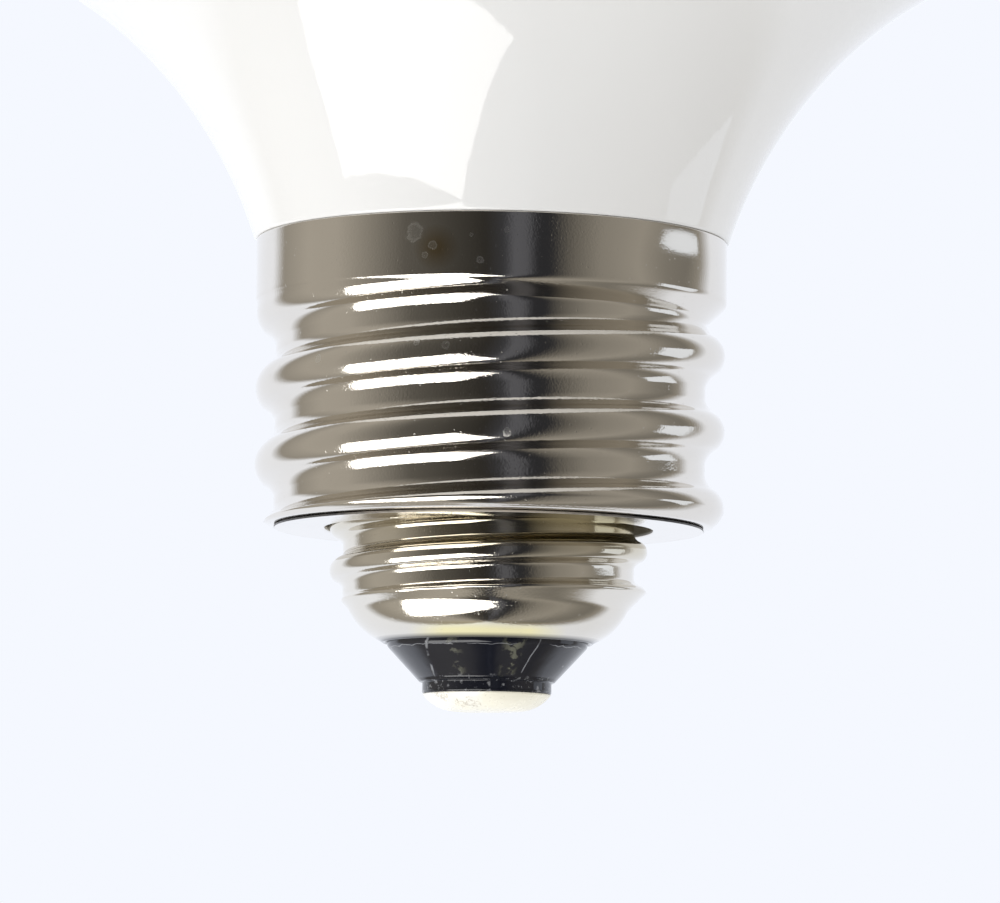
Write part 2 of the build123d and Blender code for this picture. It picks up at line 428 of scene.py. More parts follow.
sleeve = {
    "rim": 15.0, "top": 39.0, "crest": 19.52, "root": 17.9, "sink": 0.05, "pitch": 6.35, "land": 0.2,
    "crestHeight": 29.7, "wall": 0.5, "collar": 19.62, "collarBottom": 33.8, "collarSlope": 1.6,
    "collarRound": 0.7, "rimRound": 2.3, "neckBore": 13.5, "neckTop": 23.0, "edge": 0.16, "waves": 0.03,
    "runOut": (70.0, 150.0), "dentAngle": 321.0, "dentHeight": 35.9, "dentDepth": 0.24,
    "dentSpread": 15.0, "dentReach": 2.3,
    # the disc that closes the bottom, and the wall's curl above it
    "disc": 17.8, "discThick": 0.17, "discInset": 0.6, "discRound": 0.05, "seam": 17.4, "seamRise": 0.03,
    "curlTop": 0.26, "curlDrop": 0.2,
    # how far in from the wall the floor inside starts and the underside ends, and the corners between
    "floorInset": 0.4, "undersideInset": 0.7, "insideRounds": (0.4, 0.12, 0.12, 0.3),
    # rows: round, outside, inside, disc before its cut edge, inside with the dull finish
    "columns": 232, "outerRows": 236, "innerRows": 76, "discRows": 6, "dullRows": 48,
    "colour": rgb(0.72, 0.685, 0.63), "dullColour": rgb(0.60, 0.56, 0.50), "dullScale": 90.0,
    "spotColour": rgb(0.80, 0.79, 0.76), "pitScale": 2500.0,
    # the cut edge's own colour and its painted shade, which grows between the two distances aside
    "edgeShadeColour": rgb(0.05, 0.05, 0.055), "edgeLight": rgb(0.50, 0.45, 0.38),
    "edgeShadeStart": 3.0, "edgeShadeFull": 13.0,
    "boreLight": rgb(0.56, 0.54, 0.50), "boreDark": rgb(0.44, 0.42, 0.38),
    "stains": [(-4.4, -19.1, 36.0, 1.9)], "stainColour": rgb(0.46, 0.33, 0.14),
    "waterSpots": [(-6.1, -18.6, 37.3, 0.72), (-4.7, -19.0, 36.2, 0.32), (-5.3, -18.85, 35.4, 0.22),
                   (-0.9, -19.6, 35.0, 0.3), (1.2, -19.55, 37.4, 0.22), (-1.6, -19.5, 37.0, 0.16),
                   (-13.9, -13.7, 27.6, 0.3), (-3.6, -19.1, 28.2, 0.34), (-5.9, -18.5, 28.4, 0.26),
                   (1.4, -19.4, 21.2, 0.34)],
}


def sleeveWall(height, inset):
    # plain wall, slope and collar, or the same outline moved in by the wall's thickness
    values = sleeve
    outline = roundedOutline(
        [(values["root"] - inset, values["rim"]),
         (values["root"] - inset, values["collarBottom"] - values["collarSlope"]),
         (values["collar"] - inset, values["collarBottom"]),
         (values["collar"] - inset, values["top"])],
        [values["collarRound"], values["collarRound"]])
    return np.interp(height, outline[:, 1], outline[:, 0])


def sleeveRadius(height, inset):
    # the thread held inside the rounded rim, or the wall where that stands further out
    values = sleeve
    bend = values["rimRound"] - inset
    below = np.clip(values["rim"] + inset + bend - height, 0, bend)
    limit = values["collar"] - values["rimRound"] + np.sqrt(bend**2 - below**2)
    ridge = np.minimum(threadRadius(height, values["columns"], values, inset), limit)
    # the last groove fills up as its ridge climbs into the collar
    angle = np.linspace(0, 2 * np.pi, values["columns"], endpoint=False)
    share = np.clip((np.degrees(angle) - values["runOut"][0]) / np.ptp(values["runOut"]), 0, 1)
    share = share * share * (3 - 2 * share)
    above = height > values["crestHeight"] + values["pitch"] * angle / (2 * np.pi)
    filled = values["root"] - inset + (values["crest"] - values["root"]) * share * above
    ridge = np.maximum(ridge, filled)
    # a shallow dent in the collar, a bell curve both round and along
    apart = (np.degrees(angle) - values["dentAngle"]) / values["dentSpread"]
    dent = np.exp(-apart**2 - ((height - values["dentHeight"]) / values["dentReach"])**2)
    wall = np.maximum(ridge, sleeveWall(height, inset)) - values["dentDepth"] * dent
    return wall + spunWaves(height, values["columns"], values["waves"])


def buildSleeve():
    values = sleeve
    rim, top, root, wall, edge = (values[key] for key in ("rim", "top", "root", "wall", "edge"))
    discTop = rim + values["discThick"]
    curlTop = discTop + values["curlTop"]
    outerHeight = np.linspace(curlTop, top - edge, values["outerRows"])[:, None]
    outer = sleeveRadius(outerHeight, 0.0)
    innerHeight = np.linspace(top, rim + wall, values["innerRows"])[:, None]
    inner = sleeveRadius(innerHeight, wall)
    turn = np.radians(np.linspace(0, 90, 6))[:, None]
    # edge of the bottom disc, the wall's curl above it, then the wall, then the rounded top edge
    disc = roundedOutline(
        [(root - values["discInset"], rim), (values["disc"], rim), (values["disc"], discTop),
         (values["seam"], discTop + values["seamRise"])],
        [values["discRound"], values["discRound"]], 4)
    curl = (values["seam"] + (outer[:1] - values["seam"]) * np.sin(turn[:-1]),
            curlTop - values["curlDrop"] * np.cos(turn[:-1]))
    lip = (outer[-1:] - edge + edge * np.cos(turn[1:]), top - edge + edge * np.sin(turn[1:]))
    neckOut = values["neckBore"] + wall
    inside = roundedOutline(
        [(root - wall - values["floorInset"], rim + wall), (neckOut, rim + wall),
         (neckOut, values["neckTop"]), (values["neckBore"], values["neckTop"]), (values["neckBore"], rim),
         (root - values["undersideInset"], rim)],
        values["insideRounds"])
    under, dull = values["discRows"], values["dullRows"]
    piece = turnedPiece(
        "adapterSleeve",
        [block(disc[:under]), block(disc[under:]), curl, (outer, outerHeight), lip, (inner, innerHeight),
         block(inside[:dull]), block(inside[dull:])],
        values["columns"], finishes=[0, 1, 0, 0, 0, 2, 2, 0])
    piece.data.materials.append(nickelPlate("sleeveNickel", values))
    piece.data.materials.append(cutEdge(values))
    piece.data.materials.append(dullBore(values))
    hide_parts("adapter_sleeve")
    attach(piece, "sleeve")
    return piece


adapterSleeve = buildSleeve()
print("sleeve:", len(adapterSleeve.data.polygons), "faces")


# screw shell of the cap

capShell = {
    "top": 27.0, "crest": 13.2, "root": 12.05, "sink": 0.05, "pitch": 3.629, "land": 0.2,
    "crestHeight": 13.3, "wall": 0.45, "threadTop": 24.0,
    "bellTop": 10.498, "bellBend": 5.15, "bellAngle": 72.0, "fadeDrop": 0.5, "fadeAngle": 46.0,
    "soft": 0.08, "topDrop": 0.05, "topInset": 0.08, "waves": 0.02,
    "columns": 208, "outerRows": 170, "bellRows": 46, "insideRows": 24,
    "colour": rgb(0.72, 0.685, 0.62), "dullColour": rgb(0.58, 0.53, 0.44), "dullScale": 110.0,
    "spotColour": rgb(0.80, 0.79, 0.74), "pitScale": 2700.0,
    "tarnishColour": rgb(0.40, 0.32, 0.11), "tarnish": 0.7, "tarnishLow": 11.5, "tarnishFull": 15.0,
    "tarnishEnd": 19.0, "tarnishSide": (-9.0, 3.0),
    # a painted yellow reflection low on the bell, at the front and back
    "footReflectionColour": rgb(0.93, 0.82, 0.36), "footTop": 6.9, "footFull": 6.2, "footReach": (6.5, 3.5),
    # darker towards the bell's lower edge, nearly black at it
    "mouthDarkColour": rgb(0.05, 0.05, 0.055), "mouthDarkTop": 5.98, "mouthDarkFull": 5.68,
}


def buildCapShell():
    values = capShell
    columns, top, root = values["columns"], values["top"], values["root"]
    bellTop, bend, angle = values["bellTop"], values["bellBend"], values["bellAngle"]
    bore = root - values["wall"]
    centre = root - bend
    bell = arcPoints((centre, bellTop), bend, -angle, 0, values["bellRows"])[:-1]
    wallHeight = np.linspace(bellTop, top - values["topDrop"], values["outerRows"])[:, None]
    height = np.concatenate((bell[:, 1:], wallHeight))
    plain = np.concatenate((bell[:, :1], np.full_like(wallHeight, root)))
    # the thread fades out on a cone round the bell below and on a slope above
    fall = math.tan(math.radians(values["fadeAngle"]))
    below = np.clip(bellTop - values["fadeDrop"] - height, 0, None)
    above = np.clip(values["threadTop"] - height, 0, None)
    limit = np.minimum(values["crest"] + values["sink"] - fall * below, bore + above)
    ridge = threadRadius(height, columns, values)
    # lesser and greater of two radii with the corner rolled off:
    # half of (a + b -/+ sqrt((a - b)^2 + soft^2))
    ridge = (ridge + limit - np.sqrt((ridge - limit)**2 + values["soft"]**2)) / 2
    outer = (ridge + plain + np.sqrt((ridge - plain)**2 + values["soft"]**2)) / 2
    outer = np.minimum(outer, values["crest"]) + spunWaves(height, columns, values["waves"])
    inside = np.concatenate((
        linePoints((root - values["topInset"], top), (bore, top), 4),
        linePoints((bore, top - values["topDrop"]), (bore, bellTop), values["insideRows"]),
        arcPoints((centre, bellTop), bend - values["wall"], 0, -angle, values["insideRows"])[1:]))
    lip = linePoints(inside[-1], bell[0], 6)[1:-1]
    piece = turnedPiece("capShell", [(outer, height), block(inside), block(lip)], columns)
    piece.data.materials.append(nickelPlate("capNickel", values))
    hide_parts("screw_shell")
    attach(piece, "bulb")
    return piece


screwShell = buildCapShell()
print("cap shell:", len(screwShell.data.polygons), "faces")


# glass insulator

insulator = {
    "bottom": 1.4, "lip": 5.35, "lipTop": 2.3, "waist": 5.6, "waistRise": 0.1, "coneTop": 5.6,
    "mouth": 8.337, "shoulderInset": 0.05, "shoulderDrop": 0.3, "shoulderEnd": 0.45,
    "belowRounds": (0.2, 0.1, 0.1, 0.5),
    "swellTop": 10.498, "swellBend": 4.65, "swellAngle": 72.0, "plug": 11.55, "plugRise": 0.05,
    "plugTop": 11.698, "plugRound": 0.2, "hub": 0.4, "columns": 192,
    "colour": rgb(0.010, 0.011, 0.017), "fleckColour": rgb(0.20, 0.20, 0.13),
    "scratchColour": rgb(0.55, 0.56, 0.58), "wander": 0.12,
    # hairlines are (degrees from the front, lean, width), residue is (degrees, width, share)
    "hairlines": [(30.7, -1.2, 0.010), (-36.5, -4.1, 0.022), (118.0, 2.0, 0.012), (-142.0, -1.5, 0.010)],
    "residue": [(16.0, 0.13, 1.0), (-21.0, 0.10, 0.5), (95.0, 0.12, 0.8), (-160.0, 0.14, 0.9)],
    "ring": 5.12, "ringWidth": 0.035, "ringWander": 0.5, "clear": (0.2, 0.6),
}


def blackGlass(values):
    material, tree, shader = newMaterial("blackGlass")
    place = objectPlace(tree)
    height = put(tree, "ShaderNodeSeparateXYZ", {0: place}).outputs["Z"]
    fine = useGroup(tree, grain, Scale=900.0).outputs["Height"]
    coarse = useGroup(tree, grain, Scale=260.0, Detail=3.0).outputs["Height"]
    # angle round the cone, made to wander a little
    sway = mathNode(tree, "SUBTRACT", coarse, 0.5)
    angle = mathNode(tree, "MULTIPLY_ADD", sway, values["wander"], frontAngle(tree, place))
    broken = rangeNode(tree, fine, 0.42, 0.55)
    # a crack runs unevenly round below the shoulder; the hairlines lean as they come down from it
    drop = mathNode(tree, "MULTIPLY_ADD", height, -1 / mm, values["ring"])
    level = mathNode(tree, "MULTIPLY_ADD", mathNode(tree, "SUBTRACT", fine, 0.5), values["ringWander"], drop)
    level = mathNode(tree, "ABSOLUTE", level)
    hairs = rangeNode(tree, level, values["ringWidth"], values["ringWidth"] * 0.3)
    hairs = mathNode(tree, "MULTIPLY", hairs, rangeNode(tree, coarse, 0.46, 0.52))
    for degrees, lean, width in values["hairlines"]:
        middle = mathNode(tree, "MULTIPLY_ADD", drop, math.radians(lean), math.radians(degrees))
        away = mathNode(tree, "ABSOLUTE", mathNode(tree, "SUBTRACT", angle, middle))
        line = mathNode(tree, "MULTIPLY", rangeNode(tree, away, width, width * 0.3), broken)
        hairs = mathNode(tree, "MAXIMUM", hairs, line)
    residue = 0.0
    for degrees, width, share in values["residue"]:
        away = mathNode(tree, "ABSOLUTE", mathNode(tree, "SUBTRACT", angle, math.radians(degrees)))
        patch = rangeNode(tree, away, width, width * 0.2, 0.0, share)
        residue = mathNode(tree, "MAXIMUM", residue, patch)
    # all that stops short of the lip, which has its own crumbs of dirt
    bare, full = values["clear"]
    onCone = rangeNode(tree, height, (values["lipTop"] + bare) * mm, (values["lipTop"] + full) * mm)
    hairs = mathNode(tree, "MULTIPLY", hairs, onCone)
    residue = mathNode(tree, "MULTIPLY", residue, onCone)
    crumbs = useGroup(tree, blotches, Scale=2300.0, Low=0.59, High=0.70).outputs["Mask"]
    crumbs = mathNode(tree, "MULTIPLY", crumbs, mathNode(tree, "SUBTRACT", 1.0, onCone))
    fleck = useGroup(tree, blotches, Scale=1150.0, Low=0.50, High=0.56, Detail=5.0).outputs["Mask"]
    fleck = mathNode(tree, "MULTIPLY", fleck, residue)
    dust = useGroup(tree, specks, Scale=1300.0, Share=0.09, Size=0.14).outputs["Mask"]
    pale = mathNode(tree, "MAXIMUM", mathNode(tree, "MAXIMUM", hairs, dust), crumbs)
    colour = values["colour"]
    colour = mixColour(tree, mathNode(tree, "MULTIPLY", fleck, 0.55), colour, values["fleckColour"])
    colour = mixColour(tree, mathNode(tree, "MULTIPLY", pale, 0.4), colour, values["scratchColour"])
    tree.links.new(colour, shader.inputs["Base Color"])
    rough = mathNode(tree, "MULTIPLY_ADD", fleck, 0.4, rangeNode(tree, fine, 0.3, 0.7, 0.04, 0.12))
    tree.links.new(rough, shader.inputs["Roughness"])
    shader.inputs["IOR"].default_value = 1.52
    normal = bump(tree, coarse, 0.15, 0.0003)
    normal = bump(tree, hairs, 0.5, 0.00006, normal, invert=True)
    tree.links.new(normal, shader.inputs["Normal"])
    return material


def buildInsulator():
    values = insulator
    bottom, lip, lipTop, mouth = (values[key] for key in ("bottom", "lip", "lipTop", "mouth"))
    hub, plug, plugTop = values["hub"], values["plug"], values["plugTop"]
    below = roundedOutline(
        [(hub, bottom), (lip, bottom), (lip, lipTop), (values["waist"], lipTop + values["waistRise"]),
         (mouth - values["shoulderInset"], values["coneTop"] - values["shoulderDrop"]),
         (mouth, values["coneTop"] + values["shoulderEnd"])],
        values["belowRounds"])
    centre = (plug - values["swellBend"], values["swellTop"])
    swell = arcPoints(centre, values["swellBend"], -values["swellAngle"], 0, 20)
    above = roundedOutline(
        [(plug, values["swellTop"] + values["plugRise"]), (plug, plugTop), (hub, plugTop)],
        [values["plugRound"]])
    piece = turnedPiece("capInsulator", [block(below), block(swell), block(above)], values["columns"],
                        (bottom, plugTop))
    piece.data.materials.append(blackGlass(values))
    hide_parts("cap_insulator")
    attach(piece, "bulb")
    return piece


capInsulator = buildInsulator()
print("insulator:", len(capInsulator.data.polygons), "faces")


# tinned contact

contact = {
    "flat": 2.6, "radius": 5.3, "height": 1.4, "lumps": 0.09, "rimDrop": 0.02, "hub": 0.25,
    "columns": 128, "rows": 40, "rimRows": 8,
    "colour": rgb(0.99, 0.985, 0.96), "waxColour": rgb(1.0, 0.95, 0.74), "markColour": rgb(0.45, 0.44, 0.41),
    "darkMarkColour": rgb(0.52, 0.47, 0.37),
    "darkMarks": [(-2.1, -3.7, 0.45, 0.38), (-1.2, -4.1, 0.44, 0.44), (-3.9, -3.5, 1.2, 0.55),
              (2.6, 3.2, 0.45, 0.4)],
}


def tinnedContact(values):
    material, tree, shader = newMaterial("tinnedContact")
    wax = useGroup(tree, blotches, Scale=170.0, Low=0.36, High=0.56, Detail=3.0).outputs["Mask"]
    mark = useGroup(tree, specks, Scale=420.0, Share=0.10, Size=0.34).outputs["Rim"]
    fine = useGroup(tree, grain, Scale=1600.0, Detail=4.0).outputs["Height"]
    # darker ragged marks on the tin; one sits on the rim where it meets the insulator's lip
    darkMarks = driedDrops(tree, objectPlace(tree), values["darkMarks"], scale=3600.0, Fray=4.5, Hollow=0.95)
    colour = values["colour"]
    colour = mixColour(tree, mathNode(tree, "MULTIPLY", wax, 0.7), colour, values["waxColour"])
    colour = mixColour(tree, mathNode(tree, "MULTIPLY", mark, 0.8), colour, values["markColour"])
    colour = mixColour(tree, mathNode(tree, "MULTIPLY", darkMarks, 0.85), colour, values["darkMarkColour"])
    tree.links.new(colour, shader.inputs["Base Color"])
    shader.inputs["Metallic"].default_value = 0.1
    tree.links.new(rangeNode(tree, fine, 0.3, 0.7, 0.22, 0.42), shader.inputs["Roughness"])
    tree.links.new(bump(tree, fine, 0.15, 0.0001), shader.inputs["Normal"])
    return material


def buildContact():
    values = contact
    # dome: flat out to r0, then a circle that leaves it level, z = R - sqrt(R^2 - (r - r0)^2),
    # plus low solder lumps that only ever stand back from the tip's plane
    run, rise = values["radius"] - values["flat"], values["height"]
    bend = (run**2 + rise**2) / (2 * rise)
    radius = np.linspace(values["hub"], values["radius"], values["rows"])[:, None]
    past = np.clip(radius - values["flat"], 0, None)
    height = bend - np.sqrt(bend**2 - past**2)
    angle = np.linspace(0, 2 * np.pi, values["columns"], endpoint=False)
    lump = np.sin(3 * angle + 1.9 * radius) + np.sin(2 * angle - 2.6 * radius + 0.8)
    lump = lump + 0.6 * np.sin(5 * angle + radius)
    fade = np.clip(1 - radius / values["radius"], 0, 1) * np.clip(radius / values["flat"], 0, 1)
    height = height + values["lumps"] * fade * (lump / 2.6 + 1) / 2
    edge = (values["radius"], rise - values["rimDrop"])
    rim = linePoints(edge, (values["hub"], rise), values["rimRows"])[1:]
    piece = turnedPiece("centreContact", [(radius, height), block(rim)], values["columns"], (0.0, rise))
    piece.data.materials.append(tinnedContact(values))
    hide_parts("centre_contact")
    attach(piece, "bulb")
    return piece


centreContact = buildContact()
print("contact:", len(centreContact.data.polygons), "faces")


# white housing

housing = {
    "spigotBottom": 11.698, "spigot": 11.55, "spigotTop": 27.0, "neck": 17.1, "neckChamfer": 1.5,
    "insideRounds": (0.3, 0.2, 0.2, 0.2, 0.1), "foot": 19.8, "footHeight": 39.0, "footEdge": 0.3,
    "footGap": 0.02, "flareStart": 18.0, "flareEnd": 58.0, "flareBend": 40.0, "radius": 60.0, "band": 12.0,
    "bandGap": 0.05, "rimEdge": 0.8, "hub": 1.0, "columns": 288,
    "colour": rgb(0.87, 0.868, 0.852), "warmColour": rgb(0.84, 0.83, 0.795),
    "speckColour": rgb(0.30, 0.28, 0.24), "roughLow": 0.045, "roughHigh": 0.085,
    "smearColour": rgb(0.80, 0.72, 0.42), "smear": (27.6, -15.0, 52.5), "smearSize": 1.6,
}


def whiteBody(values):
    material, tree, shader = newMaterial("whiteBody")
    cloud = useGroup(tree, blotches, Scale=16.0, Low=0.4, High=0.75, Detail=2.0).outputs["Mask"]
    dots = useGroup(tree, specks, Scale=95.0, Share=0.035, Size=0.035).outputs["Mask"]
    fine = useGroup(tree, grain, Scale=520.0, Detail=1.0).outputs["Height"]
    # one small old smear on the flare
    away = awayFrom(tree, objectPlace(tree), *values["smear"])
    smear = rangeNode(tree, away, values["smearSize"] * mm, 0.0, 0.0, 0.55)
    patchy = useGroup(tree, blotches, Scale=700.0, Low=0.4, High=0.6).outputs["Mask"]
    smear = mathNode(tree, "MULTIPLY", smear, patchy)
    colour = values["colour"]
    colour = mixColour(tree, mathNode(tree, "MULTIPLY", cloud, 0.35), colour, values["warmColour"])
    colour = mixColour(tree, smear, colour, values["smearColour"])
    colour = mixColour(tree, mathNode(tree, "MULTIPLY", dots, 0.6), colour, values["speckColour"])
    tree.links.new(colour, shader.inputs["Base Color"])
    rough = rangeNode(tree, cloud, 0.0, 1.0, values["roughLow"], values["roughHigh"])
    rough = mathNode(tree, "MULTIPLY_ADD", dots, 0.3, rough)
    tree.links.new(rough, shader.inputs["Roughness"])
    shader.inputs["IOR"].default_value = 1.53
    tree.links.new(bump(tree, fine, 0.05, 0.0002), shader.inputs["Normal"])
    return material


def buildHousing():
    values = housing
    foot, footEdge, footHeight = values["foot"], values["footEdge"], values["footHeight"]
    start, end, bend = values["flareStart"], values["flareEnd"], values["flareBend"]
    spigot, neck, chamfer = values["spigot"], values["neck"], values["neckChamfer"]
    bottom, spigotTop = values["spigotBottom"], values["spigotTop"]
    inside = roundedOutline(
        [(values["hub"], bottom), (spigot, bottom), (spigot, spigotTop), (neck - chamfer, spigotTop),
         (neck, spigotTop + chamfer), (neck, footHeight), (foot - footEdge - values["footGap"], footHeight)],
        values["insideRounds"])
    # the foot's edge, the hollow flare and the round shoulder are arcs that meet without a kink
    footCentre = (foot - footEdge, footHeight + footEdge)
    edge = arcPoints(footCentre, footEdge, -90, -start, 8)
    ahead = np.radians(start)
    flareCentre = edge[-1] + bend * np.array((math.cos(ahead), -math.sin(ahead)))
    flare = arcPoints(flareCentre, bend, 180 - start, 180 - end, 64)[1:]
    ahead = math.radians(end)
    shoulderBend = (values["radius"] - flare[-1, 0]) / (1 - math.cos(ahead))
    shoulderCentre = (values["radius"] - shoulderBend, flare[-1, 1] + shoulderBend * math.sin(ahead))
    shoulder = arcPoints(shoulderCentre, shoulderBend, -end, 0, 56)[1:]
    top = shoulder[-1, 1] + values["band"]
    rim = roundedOutline(
        [shoulder[-1] + (0, values["bandGap"]), (values["radius"], top), (values["hub"], top)],
        [values["rimEdge"]])
    rows = [block(outline) for outline in (inside, edge, flare, shoulder, rim)]
    piece = turnedPiece("housingBody", rows, values["columns"], (bottom, top))
    piece.data.materials.append(whiteBody(values))
    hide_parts("housing")
    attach(piece, "bulb")
    return piece, top


housingBody, housingTop = buildHousing()
print("housing:", len(housingBody.data.polygons), "faces, top at", round(housingTop, 2))


# opal dome

dome = {
    "step": 0.6, "straight": 62.0, "corner": 36.0, "cornerAngle": 60.0, "crownEnd": 89.3, "edge": 0.6,
    "hub": 1.0, "columns": 288,
    "colour": rgb(0.88, 0.878, 0.86), "shadeColour": rgb(0.84, 0.838, 0.815),
}


def opalDome(values):
    material, tree, shader = newMaterial("opalDome")
    cloud = useGroup(tree, blotches, Scale=22.0, Low=0.35, High=0.7, Detail=3.0).outputs["Mask"]
    dots = useGroup(tree, specks, Scale=120.0, Share=0.03, Size=0.04).outputs["Mask"]
    fine = useGroup(tree, grain, Scale=2600.0, Detail=3.0).outputs["Height"]
    cloud = mathNode(tree, "MULTIPLY", cloud, 0.5)
    colour = mixColour(tree, cloud, values["colour"], values["shadeColour"])
    tree.links.new(colour, shader.inputs["Base Color"])
    rough = mathNode(tree, "MULTIPLY_ADD", dots, 0.2, rangeNode(tree, fine, 0.3, 0.7, 0.30, 0.42))
    tree.links.new(rough, shader.inputs["Roughness"])
    shader.inputs["IOR"].default_value = 1.58
    tree.links.new(bump(tree, fine, 0.12, 0.00008), shader.inputs["Normal"])
    return material


def buildDome():
    values = dome
    radius = housing["radius"] - values["step"]
    sideTop = housingTop + values["straight"]
    side = roundedOutline(
        [(values["hub"], housingTop), (radius, housingTop), (radius, sideTop)], [values["edge"]])
    turn = values["cornerAngle"]
    corner = arcPoints((radius - values["corner"], sideTop), values["corner"], 0, turn, 40)[1:]
    crownBend = corner[-1, 0] / math.cos(math.radians(turn))
    crownCentre = (0.0, corner[-1, 1] - crownBend * math.sin(math.radians(turn)))
    crown = arcPoints(crownCentre, crownBend, turn, values["crownEnd"], 40)[1:]
    piece = turnedPiece("diffuserDome", [block(side), block(corner), block(crown)], values["columns"],
                        (housingTop, crownCentre[1] + crownBend))
    piece.data.materials.append(opalDome(values))
    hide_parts("diffuser")
    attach(piece, "bulb")
    return piece


diffuserDome = buildDome()
print("dome:", len(diffuserDome.data.polygons), "faces")


# studio: floor, glossy surround, panel, lamps

studio = {
    "floor": -0.16, "floorHalf": 30.0, "floorColour": rgb(0.88, 0.885, 0.89), "floorRough": 0.8,
    "background": rgb(0.913, 0.939, 1.0), "fill": rgb(1.0, 0.99, 0.985), "fillLevel": 0.82,
    # four corners, in metres
    "panel": [(-0.368, -0.105, -0.14), (-0.088, -0.333, -0.14),
              (0.018, -0.108, -0.14), (-0.124, 0.020, -0.14)],
    "panelLevel": 4.0, "panelColour": rgb(1.0, 0.99, 0.97),
    # four corners by azimuth and elevation
    "window": [(92, 4), (117, 6), (119, -22), (94, -20)], "windowDistance": 1.3,
    "windowLevel": 1.05, "windowColour": rgb(0.9, 0.95, 1.03), "cardSteps": 9,
    # the surround's grey by angle from the camera: light in the far half, dark where the camera stands
    "surround": [(-180, 0.93), (-155, 0.97), (-132, 1.0), (-121, 0.37), (-100, 0.49), (-80, 0.47),
                 (-58, 0.275), (-42, 0.13), (-20, 0.07), (-3, 0.035), (6, 0.04), (11, 0.10),
                 (17, 0.09), (22, 0.025), (29, 0.025), (40, 0.16), (55, 0.295), (80, 0.385),
                 (98, 0.26), (110, 0.22), (119, 0.34), (131, 0.93), (155, 0.91), (180, 0.93)],
    "surroundRadius": 2.0, "surroundTint": (1.0, 0.935, 0.82),
    "surroundWhite": (1.05, 1.09, 1.18), "whiteFrom": 0.9,
    "surroundCool": (1.25, 1.28, 1.45), "coolBetween": (5, 30),
    "keyLamp": {"azimuth": -64, "elevation": -34, "distance": 0.24, "size": 0.22, "power": 0.20},
    "topLamp": {"azimuth": -35, "elevation": 62, "distance": 2.0, "size": 0.4, "power": 5.0},
    "lampTarget": (0.0, 0.0, 0.06),
}


def glossOnly(card):
    card.visible_camera = False
    card.visible_diffuse = False
    card.visible_shadow = False
    card.visible_transmission = False


def gridCard(name, points):
    # points is a grid of places, joined into quads row by row
    rows, columns = points.shape[:2]
    index = np.arange(rows * columns).reshape(rows, columns)
    quads = np.stack((index[:-1, :-1], index[:-1, 1:], index[1:, 1:], index[1:, :-1]), -1).reshape(-1, 4)
    mesh = bpy.data.meshes.new(name)
    mesh.from_pydata(points.reshape(-1, 3).tolist(), [], quads.tolist())
    mesh.update()
    card = bpy.data.objects.new(name, mesh)
    scene.collection.objects.link(card)
    return card


def aim(azimuth, elevation, distance):
    # azimuth 0 is towards the camera's side, positive to its right; elevation is up
    a, e = np.radians(azimuth), np.radians(elevation)
    return distance * np.stack((np.sin(a) * np.cos(e), -np.cos(a) * np.cos(e), np.sin(e) + 0 * a), -1)


def emission(name):
    material = bpy.data.materials.new(name)
    material.use_nodes = True
    tree = material.node_tree
    tree.nodes.remove(tree.nodes["Principled BSDF"])
    glow = tree.nodes.new("ShaderNodeEmission")
    tree.links.new(glow.outputs[0], tree.nodes["Material Output"].inputs[0])
    return material, tree, glow


def buildFloor():
    half, level = studio["floorHalf"], studio["floor"]
    across = np.linspace(-half, half, 2)
    x, y = np.meshgrid(across, across)
    floor = gridCard("studioFloor", np.stack((x, y, np.full_like(x, level)), -1))
    material, _, shader = newMaterial("paleFloor")
    shader.inputs["Base Color"].default_value = studio["floorColour"]
    shader.inputs["Roughness"].default_value = studio["floorRough"]
    shader.inputs["Specular IOR Level"].default_value = 0.0
    floor.data.materials.append(material)
    floor.visible_glossy = False


def buildSurround():
    azimuth, elevation = np.meshgrid(np.linspace(-180, 180, 97), np.linspace(-90, 90, 49))
    card = gridCard("studioSurround", aim(azimuth, elevation, studio["surroundRadius"]))
    material, tree, glow = emission("surroundGlow")
    along = rangeNode(tree, frontAngle(tree, objectPlace(tree)), -math.pi, math.pi)
    ramp = put(tree, "ShaderNodeValToRGB", {0: along})
    stops = ramp.color_ramp.elements
    while len(stops) < len(studio["surround"]):
        stops.new(0.5)
    coolFrom, coolTo = studio["coolBetween"]
    for stop, (angle, grey) in zip(stops, studio["surround"]):
        tint = studio["surroundTint"] if grey < studio["whiteFrom"] else studio["surroundWhite"]
        if coolFrom < angle < coolTo:
            tint = studio["surroundCool"]
        stop.position = (angle + 180) / 360
        stop.color = rgb(*(np.array(tint) * grey))
    tree.links.new(ramp.outputs[0], glow.inputs["Color"])
    card.data.materials.append(material)
    glossOnly(card)


def buildPanel(name, places, level, colour):
    # a light card between four corners p0 to p3, a small grid of
    # (p0 (1 - s) + p1 s) (1 - t) + (p3 (1 - s) + p2 s) t
    places = np.array(places, float)
    steps = np.linspace(0, 1, studio["cardSteps"])
    s, t = (share[..., None] for share in np.meshgrid(steps, steps))
    grid = (places[0] * (1 - s) + places[1] * s) * (1 - t) + (places[3] * (1 - s) + places[2] * s) * t
    card = gridCard(name, grid)
    material, _, glow = emission(name + "Glow")
    glow.inputs["Color"].default_value = colour
    glow.inputs["Strength"].default_value = level
    card.data.materials.append(material)
    glossOnly(card)


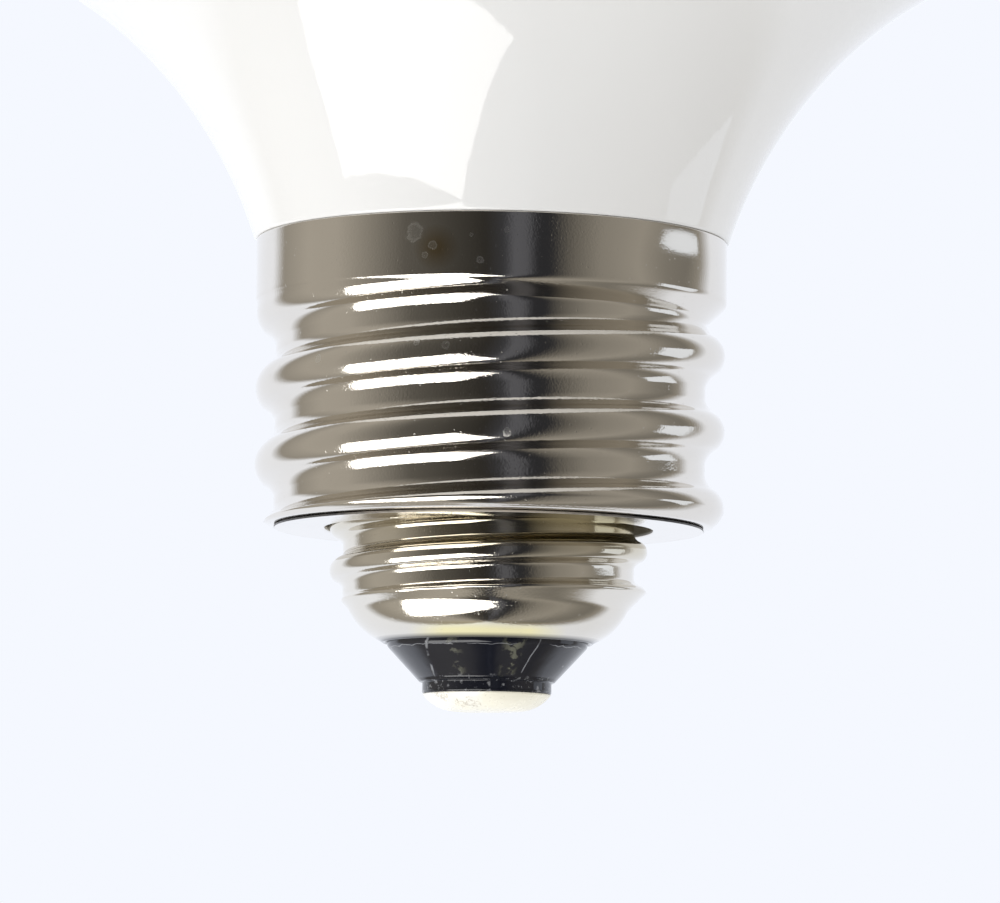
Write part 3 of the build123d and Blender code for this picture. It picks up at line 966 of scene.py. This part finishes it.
def areaLamp(name, azimuth, elevation, distance, size, power):
    lamp = bpy.data.lights.new(name, "AREA")
    lamp.shape = "DISK"
    lamp.size = size
    lamp.energy = power
    holder = bpy.data.objects.new(name, lamp)
    scene.collection.objects.link(holder)
    target = Vector(studio["lampTarget"])
    place = target + Vector(aim(azimuth, elevation, distance))
    holder.location = place
    holder.rotation_mode = "QUATERNION"
    holder.rotation_quaternion = (target - place).to_track_quat("-Z", "Y")
    holder.visible_glossy = False


def buildWorld():
    world = bpy.data.worlds.new("studioWorld")
    scene.world = world
    world.use_nodes = True
    tree = world.node_tree
    tree.nodes.clear()
    rays = put(tree, "ShaderNodeLightPath")
    seen = mathNode(tree, "MAXIMUM", rays.outputs["Is Camera Ray"], rays.outputs["Is Glossy Ray"])
    seen = mathNode(tree, "MAXIMUM", seen, rays.outputs["Is Transmission Ray"])
    fill = put(tree, "ShaderNodeBackground", {"Color": studio["fill"], "Strength": studio["fillLevel"]})
    shown = put(tree, "ShaderNodeBackground", {"Color": studio["background"], "Strength": 1.0})
    both = put(tree, "ShaderNodeMixShader", {0: seen, 1: fill.outputs[0], 2: shown.outputs[0]})
    put(tree, "ShaderNodeOutputWorld", {0: both.outputs[0]})


buildFloor()
buildSurround()
buildPanel("lowPanel", studio["panel"], studio["panelLevel"], studio["panelColour"])
windowCorners = aim(*np.array(studio["window"]).T, studio["windowDistance"])
buildPanel("sideWindow", windowCorners, studio["windowLevel"], studio["windowColour"])
areaLamp("keyLamp", **studio["keyLamp"])
areaLamp("topLamp", **studio["topLamp"])
buildWorld()
print("studio ready")


# camera

view = {
    "target": (0.00087, 0.0, 0.0216), "distance": 0.45, "elevation": -5.7, "roll": 0.65,
    "pixelsPerMetre": 12050.0, "imageWidth": 1000.0, "sensor": 36.0, "near": 0.01,
}


def buildCamera():
    camera = bpy.data.objects.new("camera", bpy.data.cameras.new("camera"))
    scene.collection.objects.link(camera)
    target = Vector(view["target"])
    place = target + Vector(aim(0.0, view["elevation"], view["distance"]))
    camera.data.sensor_width = view["sensor"]
    camera.data.lens = view["pixelsPerMetre"] * view["distance"] * view["sensor"] / view["imageWidth"]
    camera.data.clip_start = view["near"]
    camera.location = place
    camera.rotation_mode = "QUATERNION"
    look = (target - place).to_track_quat("-Z", "Y")
    camera.rotation_quaternion = look @ Quaternion((0, 0, 1), math.radians(view["roll"]))
    scene.camera = camera


buildCamera()
print("camera ready")
